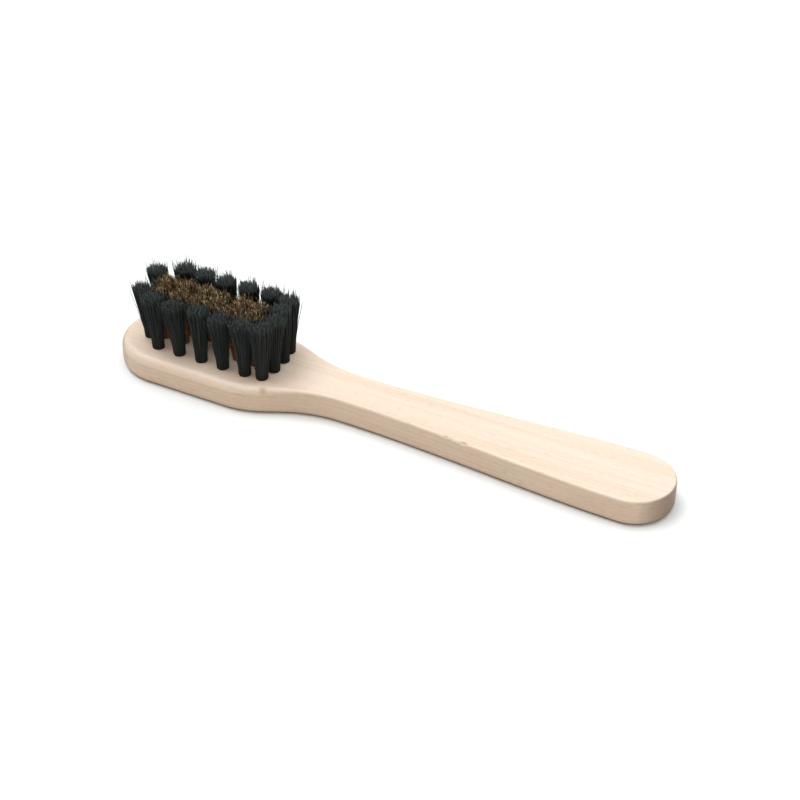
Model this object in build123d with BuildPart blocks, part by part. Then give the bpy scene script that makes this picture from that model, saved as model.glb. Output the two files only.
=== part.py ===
"""A small handled clothes brush with a one-piece beech body.

The body is a flat board: a round-ended head, drawn in at the shoulders to a slim
neck, and a grip that widens again to a round end.  Blind holes in the head hold
an oval ring of black bristle tufts round two rows of bronze wire tufts.
Every tuft is a bundle folded double over a U-shaped wire staple, which is driven
legs first through the floor of the hole, so the brush has no moving piece.

Millimetres, +Z up.  The origin is the middle of the footprint on the flat
underside; +X runs along the grip and -X towards the tip of the head.
"""

import os
from math import radians, sqrt, tan

from build123d import *

# Body, in plan.
brush_length = 175.0
head_width = 32.0
head_length = 42.6           # tip to the start of the shoulders
shoulder_length = 33.8       # start of the shoulders to the neck
shoulder_mid_length = 18.0   # start of the shoulders to the point where the curve is steep
shoulder_mid_width = 20.4
neck_width = 13.9
grip_mid_length = 54.4       # neck to the middle of the grip's swell
grip_mid_width = 19.8
grip_end_width = 23.0

# Body, in section.
board_thickness = 8.5
top_round = 1.2
bottom_round = 2.0

# Holes in the head.
bristle_hole_diameter = 3.5
wire_hole_diameter = 3.2
hole_floor = 3.0             # wood left under the cylindrical wall of a hole
drill_point_angle = 130.0
hole_rim_chamfer = 0.15

# Where the ring's tufts stand.  A reach is along the body, an offset is from its centre line.
row_count = 5                # tufts in each long row
row_pitch = 7.5
row_offset = 8.4
first_row_reach = 15.8       # tip of the head to the first tuft of a long row
tip_pair_reach = 5.5         # first tuft of a long row to the pair that closes the tip end
tip_pair_offset = 4.2
corner_reach = 5.4           # last tuft of a long row to the corner tuft
corner_offset = 7.8
end_pair_reach = 6.4         # last tuft of a long row to the pair that closes the grip end
end_pair_offset = 2.8

# Where the wire tufts stand.
wire_column_count = 6
wire_row_offset = 2.5
wire_tip_overhang = 1.3      # first column beyond the first tuft of a long row
wire_grip_overhang = 0.2     # last column beyond the last tuft of a long row

# Tufts.
bristle_free_height = 18.0
bristle_top_diameter = 5.4
wire_free_height = 17.2
wire_top_diameter = 5.2
ring_lean = 1.2              # how far a ring tuft's top stands outside its base
wire_lean = 0.35
knee_rise = 0.4              # where a bundle starts to fan out, as a share of its height
knee_spread = 0.3            # how much of the fan is reached there
tuft_top_round = 0.6
fold_round = 0.6
tuft_clearance = 0.05        # bundle to the wall of its hole, on the radius
fold_seat = 0.15             # bundle's fold above the edge of the drill point
fold_height = 1.1            # fold to the middle of the staple's bridge

# Staples.
staple_wire = 0.5
staple_wall_gap = 0.15       # outside of a leg to the wall of the hole
staple_bend = 0.45           # centre line radius of each corner
staple_bite = 1.7            # how far the legs go into the wood below the wall's end
staple_clearance = 0.08      # staple wire to the bundle and to its slot in the wood
staple_point = 0.15          # chamfer at the cut end of each leg

# Stations along the body, from the tip of the head.
tip_x = -brush_length / 2
end_x = brush_length / 2
head_centre_x = tip_x + head_width / 2
shoulder_x = tip_x + head_length
neck_x = shoulder_x + shoulder_length
grip_end_centre_x = end_x - grip_end_width / 2
first_x = tip_x + first_row_reach
last_x = first_x + row_pitch * (row_count - 1)
first_wire_x = first_x - wire_tip_overhang
last_wire_x = last_x + wire_grip_overhang

# Heights in the holes.
bridge_z = hole_floor + fold_seat + fold_height
leg_tip_z = hole_floor - staple_bite


def ring_positions():
    """Base centres of the ring's tufts, in order round the ring from the tip."""
    front_row = [(first_x + row_pitch * i, -row_offset) for i in range(row_count)]
    back_row = [(x, -y) for x, y in reversed(front_row)]
    closing = [
        (last_x + corner_reach, -corner_offset),
        (last_x + end_pair_reach, -end_pair_offset),
        (last_x + end_pair_reach, end_pair_offset),
        (last_x + corner_reach, corner_offset),
    ]
    tip_pair = [
        (first_x - tip_pair_reach, tip_pair_offset),
        (first_x - tip_pair_reach, -tip_pair_offset),
    ]
    return front_row + closing + back_row + tip_pair


def wire_positions():
    """Base centres of the wire tufts, one row after the other."""
    pitch = (last_wire_x - first_wire_x) / (wire_column_count - 1)
    columns = [first_wire_x + pitch * i for i in range(wire_column_count)]
    return [(x, side * wire_row_offset) for side in (-1, 1) for x in columns]


def lean_vector(x, y, lean):
    """Lean of a tuft at (x, y), away from the nearest point of the field's centre line."""
    nearest_x = min(max(x, first_wire_x), last_wire_x)
    reach = sqrt((x - nearest_x) ** 2 + y ** 2)
    return lean * (x - nearest_x) / reach, lean * y / reach


def leg_offset(hole_diameter):
    """Centre line of the hole to the centre line of a staple's leg."""
    return hole_diameter / 2 - staple_wall_gap - staple_wire / 2


def make_hole_cutter(hole_diameter):
    """Everything that is bored out of the board for one tuft, on the Z axis."""
    radius = hole_diameter / 2
    point_depth = radius / tan(radians(drill_point_angle / 2))
    slot_radius = staple_wire / 2 + staple_clearance
    offset = leg_offset(hole_diameter)
    with BuildPart() as cutter:
        with BuildSketch(Plane.XZ) as section:
            with BuildLine():
                Polyline(
                    (0, hole_floor - point_depth),
                    (radius, hole_floor),
                    (radius, board_thickness - hole_rim_chamfer),
                    (radius + hole_rim_chamfer, board_thickness),
                    (0, board_thickness),
                    close=True,
                )
            make_face()
        revolve(axis=Axis.Z)
        with BuildSketch(Plane.XY.offset(leg_tip_z - staple_clearance)) as leg_slots:
            with Locations((0, -offset), (0, offset)):
                Circle(slot_radius)
        extrude(amount=hole_floor - leg_tip_z + staple_clearance)
    return cutter.part


def make_staple(x, y, hole_diameter):
    """A U of round wire, astride the fold, with its legs across the grain."""
    offset = leg_offset(hole_diameter)
    foot = Plane(origin=(x, y - offset, leg_tip_z))
    with BuildPart() as staple:
        with BuildLine(Plane(origin=(x, y, 0), x_dir=(0, 1, 0), z_dir=(1, 0, 0))):
            FilletPolyline(
                (-offset, leg_tip_z),
                (-offset, bridge_z),
                (offset, bridge_z),
                (offset, leg_tip_z),
                radius=staple_bend,
            )
        with BuildSketch(foot):
            Circle(staple_wire / 2)
        sweep()
        cut_ends = staple.faces().filter_by(GeomType.PLANE)
        chamfer(cut_ends.edges(), length=staple_point)
    return staple.part


def make_tuft(x, y, lean, hole_diameter, free_height, top_diameter):
    """A folded bundle: a shank that fills its hole and a brush that flares above it."""
    shank_radius = hole_diameter / 2 - tuft_clearance
    fold_z = hole_floor + fold_seat
    top_z = board_thickness + free_height
    lean_x, lean_y = lean
    fit_radius = staple_wire / 2 + staple_clearance
    slot_inner = leg_offset(hole_diameter) - fit_radius
    slot_depth = shank_radius - slot_inner + tuft_clearance
    slot_height = bridge_z + fit_radius - fold_z + tuft_clearance
    with BuildPart() as tuft:
        with BuildSketch(Plane(origin=(x, y, fold_z))):
            Circle(shank_radius)
        extrude(amount=board_thickness - fold_z)
        fillet(tuft.edges().sort_by(Axis.Z)[0], radius=fold_round)

        # The brush leaves the hole straight, then fans out to the trimmed top.
        for rise, spread in ((0.0, 0.0), (knee_rise, knee_spread), (1.0, 1.0)):
            middle = (x + lean_x * spread, y + lean_y * spread)
            with BuildSketch(Plane(origin=(*middle, board_thickness + free_height * rise))):
                Circle(shank_radius + (top_diameter / 2 - shank_radius) * spread)
        loft()
        fillet(tuft.edges().sort_by(Axis.Z)[-1], radius=tuft_top_round)

        # Room for the staple: its bridge lies in the fold, and its legs run down outside it.
        with BuildSketch(Plane(origin=(x, y, bridge_z), z_dir=(0, 1, 0))):
            Circle(fit_radius)
        extrude(amount=shank_radius, both=True, mode=Mode.SUBTRACT)
        for side in (-1, 1):
            with Locations((x, y + side * (slot_inner + slot_depth / 2), bridge_z + fit_radius)):
                Box(
                    2 * fit_radius,
                    slot_depth,
                    slot_height,
                    align=(Align.CENTER, Align.CENTER, Align.MAX),
                    mode=Mode.SUBTRACT,
                )
    return tuft.part


os.makedirs("parts", exist_ok=True)

# Body: half the outline on +Y, mirrored, extruded and rounded over.
bristle_hole = make_hole_cutter(bristle_hole_diameter)
wire_hole = make_hole_cutter(wire_hole_diameter)

with BuildPart() as body:
    with BuildSketch() as plan:
        with BuildLine() as outline:
            RadiusArc((tip_x, 0), (head_centre_x, head_width / 2), head_width / 2)
            Line((head_centre_x, head_width / 2), (shoulder_x, head_width / 2))
            Spline(
                (shoulder_x, head_width / 2),
                (shoulder_x + shoulder_mid_length, shoulder_mid_width / 2),
                (neck_x, neck_width / 2),
                tangents=((1, 0), (1, 0)),
            )
            Spline(
                (neck_x, neck_width / 2),
                (neck_x + grip_mid_length, grip_mid_width / 2),
                (grip_end_centre_x, grip_end_width / 2),
                tangents=((1, 0), (1, 0)),
            )
            RadiusArc((grip_end_centre_x, grip_end_width / 2), (end_x, 0), grip_end_width / 2)
            mirror(about=Plane.XZ)
        make_face()
    extrude(amount=board_thickness)
    fillet(body.faces().sort_by(Axis.Z)[-1].edges(), radius=top_round)
    fillet(body.faces().sort_by(Axis.Z)[0].edges(), radius=bottom_round)
    with Locations(*ring_positions()):
        add(bristle_hole, mode=Mode.SUBTRACT)
    with Locations(*wire_positions()):
        add(wire_hole, mode=Mode.SUBTRACT)
body.part.label = "beech_body"
export_step(body.part, "parts/beech_body.step")

# Ring of black bristle tufts, each with its staple.
for number, (x, y) in enumerate(ring_positions(), start=1):
    lean = lean_vector(x, y, ring_lean)
    tuft = make_tuft(x, y, lean, bristle_hole_diameter, bristle_free_height, bristle_top_diameter)
    tuft.label = f"bristle_tuft_{number:02d}"
    export_step(tuft, f"parts/{tuft.label}.step")
    staple = make_staple(x, y, bristle_hole_diameter)
    staple.label = f"bristle_staple_{number:02d}"
    export_step(staple, f"parts/{staple.label}.step")

# Two rows of bronze wire tufts, each with its staple.
for number, (x, y) in enumerate(wire_positions(), start=1):
    lean = lean_vector(x, y, wire_lean)
    tuft = make_tuft(x, y, lean, wire_hole_diameter, wire_free_height, wire_top_diameter)
    tuft.label = f"wire_tuft_{number:02d}"
    export_step(tuft, f"parts/{tuft.label}.step")
    staple = make_staple(x, y, wire_hole_diameter)
    staple.label = f"wire_staple_{number:02d}"
    export_step(staple, f"parts/{staple.label}.step")
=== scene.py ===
# %% [markdown]
# # A handled clothes brush, finished in Blender
#
# The CAD model already fixes every size: a flat beech board with a round head, a slim neck
# and a grip, an oval ring of black bristle tufts, two rows of bronze wire tufts inside it,
# and one U-shaped staple in every hole. Blender adds what the eye looks for: the single
# bristles and wires, the softened edges of the board, the grain of the wood and the light.

# %% Load the frame
import math

import bpy
import numpy as np
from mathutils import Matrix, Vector


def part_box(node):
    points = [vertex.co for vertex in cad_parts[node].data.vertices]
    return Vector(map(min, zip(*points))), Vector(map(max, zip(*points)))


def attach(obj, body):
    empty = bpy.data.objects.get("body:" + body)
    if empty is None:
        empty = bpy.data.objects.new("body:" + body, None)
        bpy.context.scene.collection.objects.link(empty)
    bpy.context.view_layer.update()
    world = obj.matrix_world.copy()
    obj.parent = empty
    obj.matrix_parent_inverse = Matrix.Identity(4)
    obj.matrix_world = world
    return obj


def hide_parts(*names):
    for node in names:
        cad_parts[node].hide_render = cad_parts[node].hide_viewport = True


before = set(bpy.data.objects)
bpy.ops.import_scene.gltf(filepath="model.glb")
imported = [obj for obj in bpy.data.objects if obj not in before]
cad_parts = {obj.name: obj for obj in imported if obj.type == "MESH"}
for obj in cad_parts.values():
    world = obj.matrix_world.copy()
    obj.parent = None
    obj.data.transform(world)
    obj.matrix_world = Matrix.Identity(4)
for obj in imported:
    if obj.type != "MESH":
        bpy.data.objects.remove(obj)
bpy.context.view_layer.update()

# %% [markdown]
# ## Where things are
#
# Every place is read from the frame. A staple sits astride the middle of its hole, so the
# middle of a staple's box is the middle of the hole. A tuft's box gives the height of its top
# and of its fold, and its mesh gives the rest. Four small helpers keep the later cells short.

# %% Name the pieces
MM = 0.001

BOARD = "beech_body"
RING_TUFTS = sorted(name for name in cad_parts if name.startswith("bristle_tuft"))
WIRE_TUFTS = sorted(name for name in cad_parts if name.startswith("wire_tuft"))
STAPLES = sorted(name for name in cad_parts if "staple" in name)
print(len(RING_TUFTS), "bristle tufts,", len(WIRE_TUFTS), "wire tufts,", len(STAPLES), "staples")

# %% Read places from the frame


def box_of(node):
    """Lowest and highest corner of a CAD node."""
    low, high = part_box(node)
    return Vector(low), Vector(high)


def staple_of(tuft):
    """The name of the staple that holds a tuft."""
    return tuft.replace("tuft", "staple")


def hole_of(tuft):
    """The centre line of a tuft's hole, the height of its fold and the top of its staple."""
    low, high = box_of(staple_of(tuft))
    fold = box_of(tuft)[0].z
    return (low.x + high.x) / 2, (low.y + high.y) / 2, fold, high.z


def points_of(piece):
    """The vertices of a piece's mesh, one row each."""
    points = np.empty(len(piece.data.vertices) * 3)
    piece.data.vertices.foreach_get("co", points)
    return points.reshape(-1, 3)


board_low, board_high = box_of(BOARD)
print("top of the board at", round(board_high.z / MM, 2), "mm")

# %% [markdown]
# ## Camera and light
#
# The brush lies on its back and is seen from the front right, half from above, through a
# long lens. A camera placed by its two angles and its distance is easy to check, and a small
# shift of the lens frames the brush without turning the camera.

# %% Place the camera
CAMERA_AZIMUTH = math.radians(28.22)
CAMERA_ELEVATION = math.radians(36.08)
CAMERA_DISTANCE = 0.52
LENS = 81.35            # millimetres, on a film 36 mm wide
LENS_SHIFT = (0.0183, 0.0279)

towards_camera = Vector((
    math.sin(CAMERA_AZIMUTH) * math.cos(CAMERA_ELEVATION),
    -math.cos(CAMERA_AZIMUTH) * math.cos(CAMERA_ELEVATION),
    math.sin(CAMERA_ELEVATION),
))
bpy.ops.object.select_all(action="DESELECT")
bpy.ops.object.camera_add(location=towards_camera * CAMERA_DISTANCE)
camera = bpy.context.object
camera.name = "camera"
camera.rotation_euler = towards_camera.to_track_quat("Z", "Y").to_euler()
camera.data.lens = LENS
camera.data.sensor_width = 36.0
camera.data.shift_x, camera.data.shift_y = LENS_SHIFT
camera.data.clip_start = 0.01
bpy.context.scene.camera = camera
print("camera at", [round(value, 3) for value in camera.location])

# %% [markdown]
# The light is a bright, plain studio. Most of it comes from two large soft lamps high up on
# the left and behind, which brighten the upper face and the round end of the head, and leave
# the front edge in half shade and the far end of the grip in shade. A weaker one behind on
# the right and one in front fill the shade among the tufts, and the room is dim and warm.
# The lamps are suns with a wide disc: they are as soft as a large softbox, and they light the
# paper evenly however far it reaches. Only a narrow soft shadow stays visible on it.

# %% Light the room
world = bpy.data.worlds.new("studio")
bpy.context.scene.world = world
world.use_nodes = True
room = world.node_tree.nodes["Background"]
room.inputs["Color"].default_value = (1.0, 0.86, 0.74, 1.0)
room.inputs["Strength"].default_value = 0.38


def add_soft_lamp(name, azimuth, elevation, spread, strength, colour=(0.87, 0.95, 1.0)):
    """A far, large, soft lamp: where it stands as seen from the brush, and how wide it looks."""
    azimuth, elevation = math.radians(azimuth), math.radians(elevation)
    outward = Vector((
        math.sin(azimuth) * math.cos(elevation),
        -math.cos(azimuth) * math.cos(elevation),
        math.sin(elevation),
    ))
    bpy.ops.object.light_add(type="SUN", location=outward)
    lamp = bpy.context.object
    lamp.name = name
    lamp.rotation_euler = outward.to_track_quat("Z", "Y").to_euler()
    lamp.data.angle = math.radians(spread)
    lamp.data.energy = strength
    lamp.data.color = colour
    return lamp


add_soft_lamp("key_lamp", azimuth=240, elevation=74, spread=50, strength=1.95)
add_soft_lamp("left_lamp", azimuth=285, elevation=66, spread=40, strength=1.70)
add_soft_lamp("back_lamp", azimuth=140, elevation=58, spread=40, strength=1.20)
add_soft_lamp("front_lamp", azimuth=28, elevation=55, spread=40, strength=0.80)
bpy.context.scene.view_settings.view_transform = "Standard"
print("room strength", room.inputs["Strength"].default_value)

# %% Lay the floor
FLOOR_SIZE = 30.0       # metres, so that its edge stays out of sight in low views

bpy.ops.mesh.primitive_plane_add(size=FLOOR_SIZE, location=(0, 0, board_low.z))
floor = bpy.context.object
floor.name = "floor"
print("floor", FLOOR_SIZE, "m wide")

# %% [markdown]
# ## Building materials
#
# Each finish is a small node tree. Four helpers keep the trees short: one starts a material,
# one adds a node, sets its values and joins it to the nodes before it, one turns a factor
# into a colour, and one makes a speckle that sits in the object.

# %% Helpers for node trees


def start_material(name):
    """A new material, its node tree and its surface shader."""
    material = bpy.data.materials.new(name)
    material.use_nodes = True
    tree = material.node_tree
    return material, tree, tree.nodes["Principled BSDF"]


def add_node(tree, kind, settings=None, values=None, links=None):
    """A node of a kind, with its settings, its socket values and the sockets that feed it."""
    node = tree.nodes.new(kind)
    for key, value in (settings or {}).items():
        setattr(node, key, value)
    for key, value in (values or {}).items():
        node.inputs[key].default_value = value
    for key, source in (links or {}).items():
        tree.links.new(source, node.inputs[key])
    return node


def add_ramp(tree, factor, stops):
    """A colour ramp over a factor, from a list of positions and colours."""
    ramp = add_node(tree, "ShaderNodeValToRGB", links={"Fac": factor})
    elements = ramp.color_ramp.elements
    while len(elements) < len(stops):
        elements.new(0.5)
    for element, (position, colour) in zip(elements, stops):
        element.position = position
        element.color = (*colour, 1.0)
    return ramp.outputs["Color"]


def add_speckle(tree, place, scale, detail):
    """A noise of a scale, in cells per metre, that stays put on the piece."""
    speckle = add_node(tree, "ShaderNodeTexNoise", values={"Scale": scale, "Detail": detail},
                       links={"Vector": place.outputs["Object"]})
    return speckle.outputs["Fac"]


# %% Floor finish
floor_finish, tree, shader = start_material("matte_paper")
place = add_node(tree, "ShaderNodeTexCoord")
mottle = add_speckle(tree, place, 9.0, 2.0)
tone = add_ramp(tree, mottle, [(0.0, (0.645, 0.63, 0.615)), (1.0, (0.665, 0.65, 0.635))])
tree.links.new(tone, shader.inputs["Base Color"])
shader.inputs["Roughness"].default_value = 0.9
shader.inputs["Specular IOR Level"].default_value = 0.1
floor.data.materials.append(floor_finish)
print("floor in", floor_finish.name)

# %% [markdown]
# ## Beech
#
# Beech is a pale, even, fine wood. Its growth rings are faint bands, long streaks run with
# the grain, and short brown flecks, the cut ends of its rays, give it away up close. The
# grain runs along the brush, so the patterns are stretched along X. The rings are shells
# round a heart that lies well below the board and a little askew, which is why they run as
# long lines on the upper face and the sides, and as arcs on the end grain.

# %% Beech patterns
beech, tree, shader = start_material("waxed_beech")
place = add_node(tree, "ShaderNodeTexCoord")
askew = add_node(tree, "ShaderNodeMapping",
                 values={"Location": (0.0, 0.018, 0.055), "Rotation": (0.0, 0.02, 0.035),
                         "Scale": (0.25, 1.0, 1.0)},
                 links={"Vector": place.outputs["Object"]})
rings = add_node(tree, "ShaderNodeTexWave",
                 settings={"wave_type": "RINGS", "rings_direction": "X", "wave_profile": "SIN"},
                 values={"Scale": 110.0, "Distortion": 2.2, "Detail": 3.0, "Detail Scale": 0.35,
                         "Detail Roughness": 0.5},
                 links={"Vector": askew.outputs["Vector"]})


def along_grain(tree, place, lengthwise, across, **noise):
    """A noise stretched along X: cells per metre with the grain and across it."""
    stretch = add_node(tree, "ShaderNodeMapping", values={"Scale": (lengthwise, across, across)},
                       links={"Vector": place.outputs["Object"]})
    stretched = add_node(tree, "ShaderNodeTexNoise", values={"Scale": 1.0, **noise},
                         links={"Vector": stretch.outputs["Vector"]})
    return stretched.outputs["Fac"]


streaks = along_grain(tree, place, 16.0, 900.0, Detail=4.0, Roughness=0.6)
bands = along_grain(tree, place, 5.0, 130.0, Detail=2.0)
flecks = along_grain(tree, place, 420.0, 2600.0, Detail=1.0)
print("beech patterns take", len(tree.nodes), "nodes")

# %% [markdown]
# The patterns become tones that multiply: growth rings first, then streaks, bands and flecks.
# Bruises darken the dents. The end faces are darker, partly because end grain soaks up wax and
# partly as painted shade, and every face that does not face up is warmer, partly as sanded wood
# and partly as the painted colour of the shaded sides.

# %% Beech finish
colour = add_ramp(tree, rings.outputs["Fac"],
                  [(0.0, (0.61, 0.49, 0.395)), (0.75, (0.63, 0.51, 0.415)), (1.0, (0.60, 0.47, 0.37))])
streak_tone = add_ramp(tree, streaks, [(0.30, (0.88, 0.83, 0.78)), (0.55, (1.0, 1.0, 1.0))])
band_tone = add_ramp(tree, bands, [(0.3, (0.93, 0.90, 0.87)), (0.7, (1.0, 1.0, 1.0))])
fleck_tone = add_ramp(tree, flecks, [(0.60, (1.0, 1.0, 1.0)), (0.70, (0.86, 0.78, 0.70))])

bruise = add_node(tree, "ShaderNodeAttribute", settings={"attribute_name": "bruise"})
bruise_tone = add_ramp(tree, bruise.outputs["Fac"], [(0.1, (1.0, 1.0, 1.0)), (1.0, (0.78, 0.66, 0.56))])
facing = add_node(tree, "ShaderNodeSeparateXYZ", links={"Vector": place.outputs["Normal"]})
endwise = add_node(tree, "ShaderNodeMath", settings={"operation": "ABSOLUTE"},
                   links={0: facing.outputs["X"]})
# The end faces are darker: partly end grain, which soaks up wax, partly painted shade.
end_grain_and_shade_tone = add_ramp(tree, endwise.outputs["Value"], [(0.45, (1.0, 1.0, 1.0)), (1.0, (0.37, 0.33, 0.29))])
# Faces that do not face up are warmer: partly sanded wood, partly the painted colour of the shaded sides.
sanded_and_side_shade_tone = add_ramp(tree, facing.outputs["Z"], [(0.0, (1.0, 0.95, 0.88)), (0.9, (1.0, 1.0, 1.0))])

for name, layer, amount in (
    ("streaks", streak_tone, 0.55),
    ("bands", band_tone, 0.8),
    ("flecks", fleck_tone, 0.7),
    ("bruises", bruise_tone, 1.0),
    ("end grain and painted shade", end_grain_and_shade_tone, 1.0),
    ("sanded edges and painted side shade", sanded_and_side_shade_tone, 1.0),
):
    darker = add_node(tree, "ShaderNodeMix",
                      settings={"data_type": "RGBA", "blend_type": "MULTIPLY", "label": name},
                      values={"Factor": amount}, links={"A": colour, "B": layer})
    colour = darker.outputs["Result"]
tree.links.new(colour, shader.inputs["Base Color"])
shader.inputs["Roughness"].default_value = 0.5
grain = add_node(tree, "ShaderNodeBump", values={"Strength": 0.25, "Distance": 0.12 * MM},
                 links={"Height": streaks})
tree.links.new(grain.outputs["Normal"], shader.inputs["Normal"])
print("beech has", len(tree.nodes), "nodes")

# %% [markdown]
# ## The board
#
# A board like this is sawn to its outline, planed, and rounded over on a belt. The upper edge
# of the head is rounded over generously, and the grip keeps a crisper edge above and a soft
# one below. Three small dents show where the front edge was knocked. The CAD board has one
# radius all round the upper edge, so the board is built again here: the outline is read from
# the CAD mesh, and a section that changes along the brush is carried round it. No bevel can
# change its width along an edge, so the rings of points are worked out by formula.

# %% A smooth line through points


def smooth_through(points, spacing):
    """Evenly spaced points on a curve that goes through the given ones without overshoot."""
    steps = np.linalg.norm(np.diff(points, axis=0), axis=1)
    along = np.concatenate([[0.0], np.cumsum(steps)])
    slopes = np.diff(points, axis=0) / steps[:, None]

    # Weighted harmonic means of the neighbouring slopes; a corner or a flat gets none.
    left, right = slopes[:-1], slopes[1:]
    weight_left = (2 * steps[1:] + steps[:-1])[:, None]
    weight_right = (steps[1:] + 2 * steps[:-1])[:, None]
    same_way = left * right > 1e-12
    safe_left, safe_right = np.where(same_way, left, 1.0), np.where(same_way, right, 1.0)
    inner = (weight_left + weight_right) / (weight_left / safe_left + weight_right / safe_right)
    tangents = np.concatenate([slopes[:1], np.where(same_way, inner, 0.0), slopes[-1:]])

    at = np.linspace(0.0, along[-1], int(along[-1] / spacing))
    span = np.clip(np.searchsorted(along, at, side="right") - 1, 0, len(steps) - 1)
    t = ((at - along[span]) / steps[span])[:, None]
    h = steps[span][:, None]
    return (
        points[span] * (1 + 2 * t) * (1 - t) ** 2
        + tangents[span] * h * t * (1 - t) ** 2
        + points[span + 1] * t * t * (3 - 2 * t)
        + tangents[span + 1] * h * t * t * (t - 1)
    )


# %% Trace the outline
NEAR = 0.001 * MM       # two places closer than this are one
OUTLINE_STEP = 0.5 * MM

board_points = points_of(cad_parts[BOARD])

# The wall of the outline starts where the lower round-over ends, at the tip's lowest point.
at_tip = board_points[board_points[:, 0] < board_low.x + NEAR]
lower_round = at_tip[:, 2].min() - board_low.z
on_wall = np.abs(board_points[:, 2] - board_low.z - lower_round) < NEAR
half = np.unique(board_points[on_wall & (board_points[:, 1] > -NEAR)][:, :2].round(7), axis=0)
half = half[np.argsort(half[:, 0])]
half = np.concatenate([half, [(board_high.x, 0.0)]])
half = smooth_through(half, OUTLINE_STEP)
outline = np.concatenate([half, half[-2:0:-1] * (1, -1)])
print("outline of", len(outline), "points, lower round-over", round(lower_round / MM, 2), "mm")

# %% Say how the edge changes
HEAD_ROUND = 2.7 * MM
GRIP_ROUND = 0.75 * MM
ROUND_FADE = (board_low.x + 46 * MM, board_low.x + 72 * MM)   # where the one becomes the other
ARC_STEPS = 8

FULL_BRUISE = 0.2 * MM   # a dent this deep is bruised as dark as it gets
DENTS = (                # place along the front upper edge, width and depth
    (board_low.x + 54.5 * MM, 2.0 * MM, 0.22 * MM),
    (board_low.x + 111.0 * MM, 1.6 * MM, 0.18 * MM),
    (board_low.x + 116.5 * MM, 2.4 * MM, 0.22 * MM),
)

ahead = np.roll(outline, -1, axis=0) - np.roll(outline, 1, axis=0)
outward = np.stack([ahead[:, 1], -ahead[:, 0]], 1)
outward /= np.linalg.norm(outward, axis=1, keepdims=True)
outward *= np.sign(outward[len(half) // 2, 1])
fade = np.clip((outline[:, 0] - ROUND_FADE[0]) / (ROUND_FADE[1] - ROUND_FADE[0]), 0, 1)
fade = fade * fade * (3 - 2 * fade)
upper_round = HEAD_ROUND + (GRIP_ROUND - HEAD_ROUND) * fade

dent = np.zeros(len(outline))
for place_x, width, depth in DENTS:
    dent += depth * np.exp(-((outline[:, 0] - place_x) / (width / 2)) ** 2) * (outline[:, 1] < 0)
print("upper round-over from", upper_round.min() / MM, "to", upper_round.max() / MM, "mm")

# %% Carry the section round the outline

# Rings of points from the underside up: first round the lower edge, then round the upper one.
rings, bruises = [], []
for step in range(ARC_STEPS + 1):
    angle = math.pi / 2 * step / ARC_STEPS
    inset = lower_round * (1 - math.sin(angle))
    height = board_low.z + lower_round * (1 - math.cos(angle))
    rings.append(np.column_stack([outline - outward * inset, np.full(len(outline), height)]))
    bruises.append(np.zeros(len(outline)))
for step in range(ARC_STEPS + 1):
    angle = math.pi / 2 * step / ARC_STEPS
    bite = dent * math.sin(2 * angle)
    inset = upper_round * (1 - math.cos(angle)) + bite
    height = board_high.z - upper_round * (1 - math.sin(angle)) - bite
    rings.append(np.column_stack([outline - outward * inset[:, None], height]))
    bruises.append(bite / FULL_BRUISE)
print(len(rings), "rings of", len(outline), "points")

# %% Make the board


def select_only(piece):
    """Make a piece the one that operators act on."""
    bpy.ops.object.select_all(action="DESELECT")
    piece.select_set(True)
    bpy.context.view_layer.objects.active = piece


def turn_faces_outward(piece):
    """Make every face of a closed piece point away from its inside."""
    select_only(piece)
    bpy.ops.object.mode_set(mode="EDIT")
    bpy.ops.mesh.select_all(action="SELECT")
    bpy.ops.mesh.normals_make_consistent(inside=False)
    bpy.ops.object.mode_set(mode="OBJECT")


ring_size = len(outline)
corners = np.arange(ring_size)
following = np.roll(corners, -1)
faces = [corners[::-1].tolist(), (corners + ring_size * (len(rings) - 1)).tolist()]
for level in range(len(rings) - 1):
    low_ring, high_ring = level * ring_size, (level + 1) * ring_size
    faces += np.column_stack([
        corners + low_ring, following + low_ring, following + high_ring, corners + high_ring,
    ]).tolist()
mesh = bpy.data.meshes.new("board")
mesh.from_pydata(np.concatenate(rings).tolist(), [], faces)
bruise = mesh.attributes.new("bruise", "FLOAT", "POINT")
bruise.data.foreach_set("value", np.concatenate(bruises))
body = bpy.data.objects.new("sanded_board", mesh)
bpy.context.collection.objects.link(body)
turn_faces_outward(body)
print("board of", len(body.data.polygons), "faces")

# %% [markdown]
# Each tuft sits in a blind hole with a conical floor, and the staple's two legs go into the
# wood below it. One drill shape is made for each kind of hole and copied to every place, and
# all of them are cut at once. The shapes of a drill overlap a little and are joined into one
# closed shape first, because an exact cut needs that.

# %% Model a drill
WALL_CLEARANCE = 0.05 * MM       # bundle to the wall of its hole
LEG_CLEARANCE = 0.08 * MM        # staple leg to its slot in the wood
FOLD_CLEARANCE = 3 * WALL_CLEARANCE   # fold to the floor of its hole
CONE_ANGLE = math.radians(130)
ABOVE = 1 * MM                   # how far a drill stands out of the board
CONE_OVERLAP = 0.01 * MM
LEG_OVERLAP = 0.2 * MM
CONE_FIT = 0.999                 # a hair slimmer than the wall, so that the two don't coincide
HOLE_SIDES = 40
LEG_SIDES = 16


def shank_of(tuft):
    """Radius of the part of a tuft that is inside its hole, measured on the CAD mesh."""
    points = points_of(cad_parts[tuft])
    shank = points[points[:, 2] < board_high.z - ABOVE]
    hole_x, hole_y = hole_of(tuft)[:2]
    return float(np.hypot(shank[:, 0] - hole_x, shank[:, 1] - hole_y).max())


def add_rod(sides, radius, x, y, bottom, top):
    """An upright round rod between two heights."""
    bpy.ops.mesh.primitive_cylinder_add(vertices=sides, radius=radius, depth=top - bottom,
                                        location=(x, y, (top + bottom) / 2))
    return bpy.context.object


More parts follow.
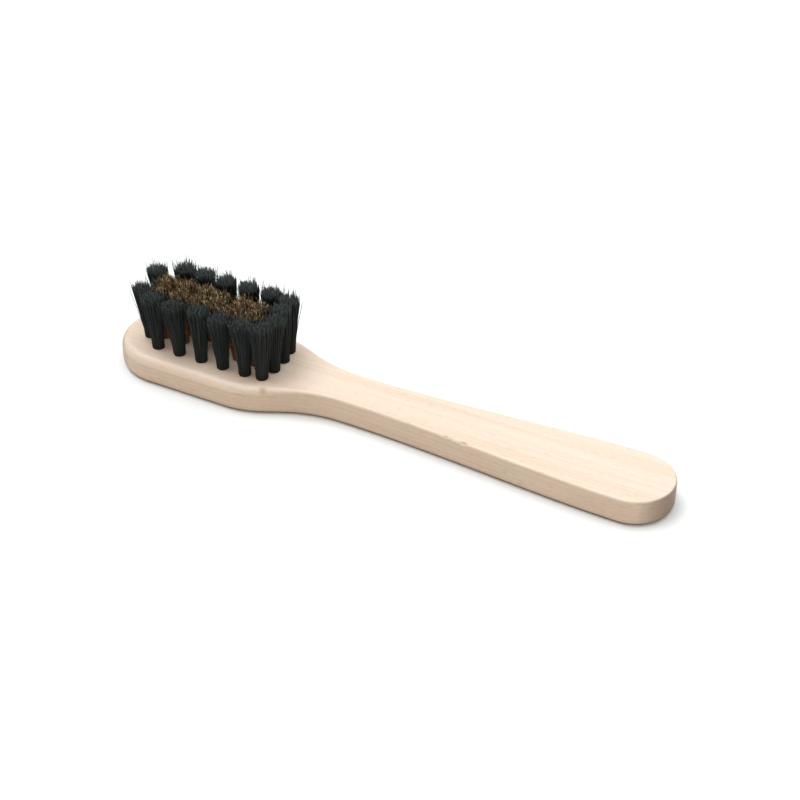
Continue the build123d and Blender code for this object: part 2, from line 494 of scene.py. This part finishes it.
def combine(piece, other, operation):
    """Join another closed piece to this one, or cut it away, and delete the other."""
    select_only(piece)
    boolean = piece.modifiers.new(operation.lower(), "BOOLEAN")
    boolean.operation = operation
    boolean.solver = "EXACT"
    boolean.object = other
    bpy.ops.object.modifier_apply(modifier=boolean.name)
    bpy.data.objects.remove(other)


def model_drill(tuft):
    """The wood that is missing round one tuft and its staple, as one closed shape."""
    hole_x, hole_y, fold_z, _ = hole_of(tuft)
    staple_low, staple_high = box_of(staple_of(tuft))
    wire = staple_high.x - staple_low.x
    radius = shank_of(tuft) + WALL_CLEARANCE
    wall_end = fold_z - FOLD_CLEARANCE
    point_depth = radius / math.tan(CONE_ANGLE / 2)

    drill = add_rod(HOLE_SIDES, radius, hole_x, hole_y, wall_end, board_high.z + ABOVE)
    bpy.ops.mesh.primitive_cone_add(
        vertices=HOLE_SIDES, radius1=0, radius2=radius * CONE_FIT, depth=point_depth,
        location=(hole_x, hole_y, wall_end - point_depth / 2 + CONE_OVERLAP))
    parts = [bpy.context.object]
    for leg_y in (staple_low.y + wire / 2, staple_high.y - wire / 2):
        parts.append(add_rod(LEG_SIDES, wire / 2 + LEG_CLEARANCE, hole_x, leg_y,
                             staple_low.z - LEG_CLEARANCE, wall_end + LEG_OVERLAP))
    for part in parts:
        combine(drill, part, "UNION")
    return drill


# %% Drill every hole
drills = []
for group in (RING_TUFTS, WIRE_TUFTS):
    pattern = model_drill(group[0])
    first_x, first_y = hole_of(group[0])[:2]
    for tuft in group[1:]:
        hole_x, hole_y = hole_of(tuft)[:2]
        copy = pattern.copy()
        copy.data = pattern.data.copy()
        copy.location = pattern.location + Vector((hole_x - first_x, hole_y - first_y, 0))
        bpy.context.collection.objects.link(copy)
        drills.append(copy)
    drills.append(pattern)
select_only(drills[0])
for drill in drills:
    drill.select_set(True)
bpy.ops.object.join()
combine(body, bpy.context.object, "DIFFERENCE")
print(len(drills), "holes drilled")

# %% Smooth the board
SHARP_ANGLE = math.radians(35)   # the rims of the holes stay crisp and the round-overs smooth

bpy.ops.object.shade_smooth_by_angle(angle=SHARP_ANGLE)
weighted = body.modifiers.new("flat_faces_stay_flat", "WEIGHTED_NORMAL")
weighted.keep_sharp = True
bpy.ops.object.modifier_apply(modifier=weighted.name)
body.data.materials.append(beech)
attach(body, "root")
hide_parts(BOARD)
print("board with holes has", len(body.data.polygons), "faces")

# %% [markdown]
# ## Staples
#
# Each fold is held by a U of drawn steel wire. The CAD staples have the right shape and stay;
# they only need the finish of cold-drawn wire: a satin grey with fine scratches.

# %% Drawn steel finish
steel, tree, shader = start_material("drawn_steel")
place = add_node(tree, "ShaderNodeTexCoord")
scratches = add_speckle(tree, place, 9000.0, 3.0)
steel_tone = add_ramp(tree, scratches, [(0.3, (0.42, 0.41, 0.40)), (0.7, (0.62, 0.61, 0.59))])
tree.links.new(steel_tone, shader.inputs["Base Color"])
shader.inputs["Metallic"].default_value = 1.0
shader.inputs["Roughness"].default_value = 0.38
for name in STAPLES:
    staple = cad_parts[name]
    staple.data.materials.clear()
    staple.data.materials.append(steel)
print(len(STAPLES), "staples in", steel.name)

# %% [markdown]
# ## One strand
#
# A tuft is a bundle of strands, each one a long hair bent double over its staple. One strand
# is modelled straight, as a slim tube: a small polygon is extruded step by step. A
# few sides and steps are enough, because thousands of copies of it are needed.

# %% Model the strand


def model_strand(name, sides, stations):
    """A straight closed tube up +Z with a ring of vertices at each station."""
    bpy.ops.object.select_all(action="DESELECT")
    bpy.ops.mesh.primitive_circle_add(vertices=sides, radius=1.0, fill_type="NGON", location=(0, 0, 0))
    strand = bpy.context.object
    strand.name = name
    bpy.ops.object.mode_set(mode="EDIT")
    bpy.ops.mesh.select_all(action="SELECT")
    bpy.ops.mesh.flip_normals()
    for _ in range(stations - 1):
        bpy.ops.mesh.extrude_region_move(TRANSFORM_OT_translate={"value": (0, 0, 1)})
    bpy.ops.object.mode_set(mode="OBJECT")
    turn_faces_outward(strand)
    return strand


BRISTLE_STATIONS = 15
WIRE_STATIONS = 25      # more, because crimped wire zigzags
FOLD_STATIONS = 5       # of either, in the fold under the staple

bristle_strand = model_strand("bristle_strand", sides=4, stations=BRISTLE_STATIONS)
wire_strand = model_strand("wire_strand", sides=3, stations=WIRE_STATIONS)
print("faces of a bristle and of a wire:",
      len(bristle_strand.data.polygons), len(wire_strand.data.polygons))

# %% [markdown]
# ## Bundles
#
# A copy of the strand is laid along a line of its own. The line starts at one tip, runs down
# through the flared brush and the hole, goes round under the staple's bridge and comes back
# up on the other side. The lines differ: each has its own place in the bundle, its own bend
# and its own length, and a few stray outward, as they do on any brush that has been used.
# Laying the copies by a formula is quicker and denser than placing them by hand.

# %% Lay strands along their lines


def lay_strands(name, strand, lines, radii, tones):
    """One mesh with a copy of the strand along each line; lines are strands x stations x 3."""
    count = len(lines)
    pattern = points_of(strand)
    station = np.rint(pattern[:, 2]).astype(int)

    # Two directions square to the line at every station carry the strand's round section.
    tangent = np.gradient(lines, axis=1)
    tangent /= np.linalg.norm(tangent, axis=2, keepdims=True)
    side = np.cross(tangent, (0.0, 1.0, 0.0))
    side /= np.linalg.norm(side, axis=2, keepdims=True)
    other = np.cross(tangent, side)
    width = radii[:, station, None]
    points = (
        lines[:, station]
        + side[:, station] * pattern[None, :, 0:1] * width
        + other[:, station] * pattern[None, :, 1:2] * width
    )

    loops = [list(face.vertices) for face in strand.data.polygons]
    faces = [[corner + copy * len(pattern) for corner in loop] for copy in range(count) for loop in loops]
    mesh = bpy.data.meshes.new(name)
    mesh.from_pydata(points.reshape(-1, 3).tolist(), [], faces)
    tone = mesh.attributes.new("tone", "FLOAT", "POINT")
    tone.data.foreach_set("value", np.repeat(tones, len(pattern)))
    bundle = bpy.data.objects.new(name, mesh)
    bpy.context.collection.objects.link(bundle)
    turn_faces_outward(bundle)
    bpy.ops.object.shade_smooth()
    return bundle


# %% [markdown]
# The two kinds of bundle differ in their numbers only. The crown is how far the tips spread,
# as a share of the CAD top's width. The dome rounds the trimmed top, and jitter is the
# unevenness of the trim. Sweep pushes the tops towards the tip of the head, wander bends each
# strand by itself, and crimp is the zigzag of the wire. Strays stand proud and lean away.

# %% Say what the bundles are like
BRISTLE = {
    "count": 205, "radius": 0.092 * MM, "crown": 1.20, "dome": 0.6 * MM, "jitter": 0.28 * MM,
    "sweep": 1.0 * MM, "wander": 0.18 * MM, "crimp": 0.0,
    "strays": 0.16, "stray_lean": 1.0 * MM, "stray_rise": 1.7 * MM,
}
WIRE = {
    "count": 130, "radius": 0.07 * MM, "crown": 1.22, "dome": 0.5 * MM, "jitter": 0.45 * MM,
    "sweep": 0.6 * MM, "wander": 0.35 * MM, "crimp": 0.25 * MM,
    "strays": 0.12, "stray_lean": 0.8 * MM, "stray_rise": 0.9 * MM,
}
TIP_SHARE = 0.05            # share of a leg over which its tip is drawn in
TIP_WIDTH = 0.5             # width of the tip itself, as a share of the strand's
TUFT_DRIFT = 0.3 * MM       # how far a whole tuft's top is off its true place
PLACE_DRIFT = 0.05          # how far a strand is off its true place, as a share of the bundle
FURTHEST_STRAY = 1.3 * MM
BEND = 1.5                  # above 1, a strand drifts more near its tip than near the wood
BACK_SWEEP = 0.8            # how much more the far half of the tufts is swept
BACK_START = 4 * MM         # from here on outward the whole of it counts
FOLD_FILL = 0.9             # share of the room under the bridge that the fold takes
CRIMP_WHOLE = 0.2           # share of the height from where the zigzag is whole
CROWN_DEPTH = 1 * MM        # the crown is measured over this much of the CAD tuft
GOLDEN_TURN = math.pi * (3 - math.sqrt(5))

print("a black tuft has", BRISTLE["count"], "strands and a bronze one has", WIRE["count"])

# %% Measure a tuft


def measure_tuft(tuft):
    """What the CAD says about a tuft: its hole, its staple, its top and its crown."""
    hole_x, hole_y, fold_z, bridge_top = hole_of(tuft)
    staple_low, staple_high = box_of(staple_of(tuft))
    staple_radius = (staple_high.x - staple_low.x) / 2
    top = box_of(tuft)[1].z
    points = points_of(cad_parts[tuft])
    crown = points[points[:, 2] > top - CROWN_DEPTH]
    return {
        "hole": (hole_x, hole_y), "fold": fold_z, "bridge": bridge_top - staple_radius, "top": top,
        "staple_radius": staple_radius,
        "shank_radius": shank_of(tuft),
        "crown_radius": np.ptp(crown[:, 0]) / 2,
        "lean": (crown[:, :2].min(0) + crown[:, :2].max(0)) / 2 - (hole_x, hole_y),
    }


print("a black tuft:", measure_tuft(RING_TUFTS[0]))

# %% Draw the legs of the strands


def leg_lines(size, kind, lean, places, stations, random):
    """The line of one leg of every strand, from its tip down to the staple."""
    count = kind["count"]
    places = places + random.normal(0, PLACE_DRIFT, places.shape)
    places /= np.maximum(1.0, np.hypot(*places.T))[:, None]
    stray = (random.random(count) < kind["strays"])[:, None]

    # Heights: a domed, slightly uneven trim, with the strays standing proud.
    top = size["top"] - kind["dome"] * np.sum(places ** 2, 1, keepdims=True)
    top = top + random.normal(0, kind["jitter"], (count, 1))
    top = top + stray * kind["stray_rise"] * random.random((count, 1))
    share = np.concatenate([[1.0], np.linspace(1 - TIP_SHARE, 0.0, stations - 1)])
    z = size["bridge"] + share * (top - size["bridge"])

    # Places: straight in the hole, then fanned out to the crown.
    fan = np.clip((z - board_high.z) / (size["top"] - board_high.z), 0, None)
    shank_radius = size["shank_radius"] - kind["radius"]
    spread = shank_radius + (size["crown_radius"] * kind["crown"] - shank_radius) * fan
    drift = random.normal(0, kind["wander"], (count, 2))
    stray_lean = random.normal(0, kind["stray_lean"], (count, 2))
    drift += stray * np.clip(stray_lean, -FURTHEST_STRAY, FURTHEST_STRAY)

    # Crimped wire zigzags: one station to one side, the next to the other.
    heading = random.uniform(0, 2 * math.pi, (count, 1))
    zigzag = kind["crimp"] * (-1.0) ** np.arange(stations) * np.clip(fan / CRIMP_WHOLE, 0, 1)
    hole_x, hole_y = size["hole"]
    return np.stack([
        hole_x + lean[0] * fan + places[:, 0:1] * spread + drift[:, 0:1] * fan ** BEND
        + zigzag * np.cos(heading),
        hole_y + lean[1] * fan + places[:, 1:2] * spread + drift[:, 1:2] * fan ** BEND
        + zigzag * np.sin(heading),
        z,
    ], 2)


# %% Join the legs by a fold


def fold_lines(size, kind, start, end):
    """Half a ring under the bridge, deeper for the strands that stand further out."""
    middle, half = (start + end) / 2, (start - end) / 2
    room = size["bridge"] - size["staple_radius"] - size["fold"] - kind["radius"]
    shank_radius = size["shank_radius"] - kind["radius"]
    depth = size["staple_radius"] + kind["radius"]
    depth = depth + room * FOLD_FILL * np.abs(half[:, 0:1]) / shank_radius
    angle = np.linspace(0, math.pi, FOLD_STATIONS + 2)[1:-1]
    fold = middle[:, None] + half[:, None] * np.cos(angle)[None, :, None]
    fold[:, :, 2] = size["bridge"] - depth * np.sin(angle)
    return fold


def strand_lines(tuft, kind, stations, random):
    """The centre line of each folded strand of a tuft, and its radius at each station."""
    size = measure_tuft(tuft)
    lean = size["lean"] + random.normal(0, TUFT_DRIFT, 2)
    lean[0] -= kind["sweep"] * (1 + BACK_SWEEP * np.clip(size["hole"][1] / BACK_START, -1, 1))

    # Even places over half of the bundle; the other half holds the strands' second legs.
    index = np.arange(kind["count"]) + 0.5
    turn = index * GOLDEN_TURN
    reach = np.sqrt(index / kind["count"])
    first_places = np.stack([np.abs(reach * np.cos(turn)), reach * np.sin(turn)], 1)
    second_places = first_places * (-1, 1)

    leg_stations = (stations - FOLD_STATIONS) // 2
    first_leg = leg_lines(size, kind, lean, first_places, leg_stations, random)
    second_leg = leg_lines(size, kind, lean, second_places, leg_stations, random)
    fold = fold_lines(size, kind, first_leg[:, -1], second_leg[:, -1])
    lines = np.concatenate([first_leg, fold, second_leg[:, ::-1]], 1)
    radii = np.full(lines.shape[:2], kind["radius"])
    radii[:, [0, -1]] *= TIP_WIDTH
    return lines, radii


# %% [markdown]
# ## Bristle and wire finishes
#
# The bristles are black with a cool, slightly green cast and a soft sheen, and their tips are
# scuffed paler. The wires are bronze, some brighter and some browner. Near the wood they all
# take one lighter, redder colour: partly patina, partly painted light that lifts the shade among the
# tufts.

# %% Black bristle finish
SCUFF_SHARE = 0.90      # of the height of a tuft, from where the tips are scuffed

black, tree, shader = start_material("black_bristle")
tone = add_node(tree, "ShaderNodeAttribute", settings={"attribute_name": "tone"})
place = add_node(tree, "ShaderNodeTexCoord")
cloud = add_speckle(tree, place, 700.0, 2.0)
blend = add_node(tree, "ShaderNodeMath", settings={"operation": "MULTIPLY"},
                 links={0: tone.outputs["Fac"], 1: cloud})
black_tone = add_ramp(tree, blend.outputs["Value"],
                      [(0.0, (0.006, 0.009, 0.008)), (0.6, (0.016, 0.022, 0.019))])
height = add_node(tree, "ShaderNodeSeparateXYZ", links={"Vector": place.outputs["Object"]})
ring_top = box_of(RING_TUFTS[0])[1].z
scuff_start = board_high.z + SCUFF_SHARE * (ring_top - board_high.z)
scuff = add_node(tree, "ShaderNodeMapRange",
                 values={"From Min": scuff_start, "From Max": ring_top + 1 * MM},
                 links={"Value": height.outputs["Z"]})
tipped = add_node(tree, "ShaderNodeMix", settings={"data_type": "RGBA"},
                  links={"Factor": scuff.outputs["Result"], "A": black_tone},
                  values={"B": (0.060, 0.068, 0.064, 1.0)})
tree.links.new(tipped.outputs["Result"], shader.inputs["Base Color"])
shader.inputs["Roughness"].default_value = 0.5
shader.inputs["Specular IOR Level"].default_value = 0.3
print("tips are scuffed from", round(scuff_start / MM, 1), "mm up")

# %% Bronze wire finish
PATINA_AND_LIGHT_HEIGHT = 12 * MM   # over this height above the wood, the patina and the painted light fade into the wires' own tones

bronze, tree, shader = start_material("bronze_wire")
tone = add_node(tree, "ShaderNodeAttribute", settings={"attribute_name": "tone"})
place = add_node(tree, "ShaderNodeTexCoord")
bright = add_ramp(tree, tone.outputs["Fac"],
                  [(0.0, (0.05, 0.028, 0.012)), (0.6, (0.13, 0.082, 0.036)), (1.0, (0.46, 0.34, 0.19))])
height = add_node(tree, "ShaderNodeSeparateXYZ", links={"Vector": place.outputs["Object"]})
above_wood_share = add_node(tree, "ShaderNodeMapRange",
               values={"From Min": board_high.z, "From Max": board_high.z + PATINA_AND_LIGHT_HEIGHT},
               links={"Value": height.outputs["Z"]})
# Near the wood every wire takes one lighter, redder colour: partly patina, partly painted light that
# lifts the shade among the tufts.
patina_and_painted_light = add_node(tree, "ShaderNodeMix", settings={"data_type": "RGBA"},
                links={"Factor": above_wood_share.outputs["Result"], "B": bright},
                values={"A": (0.55, 0.25, 0.11, 1.0)})
tree.links.new(patina_and_painted_light.outputs["Result"], shader.inputs["Base Color"])
shader.inputs["Metallic"].default_value = 0.7
shader.inputs["Roughness"].default_value = 0.4
print("patina and painted light fade out at", round((board_high.z + PATINA_AND_LIGHT_HEIGHT) / MM, 1), "mm up")

# %% [markdown]
# ## All the tufts
#
# The two groups are made by one loop. Each tuft has a seed of its own, so that no two are
# alike and the result is the same every time.

# %% Make every tuft
FIRST_SEED = 100

groups = (
    (RING_TUFTS, BRISTLE, bristle_strand, BRISTLE_STATIONS, black, "black_bristle"),
    (WIRE_TUFTS, WIRE, wire_strand, WIRE_STATIONS, bronze, "bronze_wire"),
)
seed = FIRST_SEED
faces = 0
for tufts, kind, strand, stations, finish, slot in groups:
    for name in tufts:
        random = np.random.default_rng(seed)
        seed += 1
        lines, radii = strand_lines(name, kind, stations, random)
        bundle = lay_strands("bundle_" + name, strand, lines, radii, random.random(len(lines)))
        bundle.data.materials.append(finish)
        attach(bundle, "root")
        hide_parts(name)
        faces += len(bundle.data.polygons)
    bpy.data.objects.remove(strand)
print(seed - FIRST_SEED, "bundles with", faces, "faces")
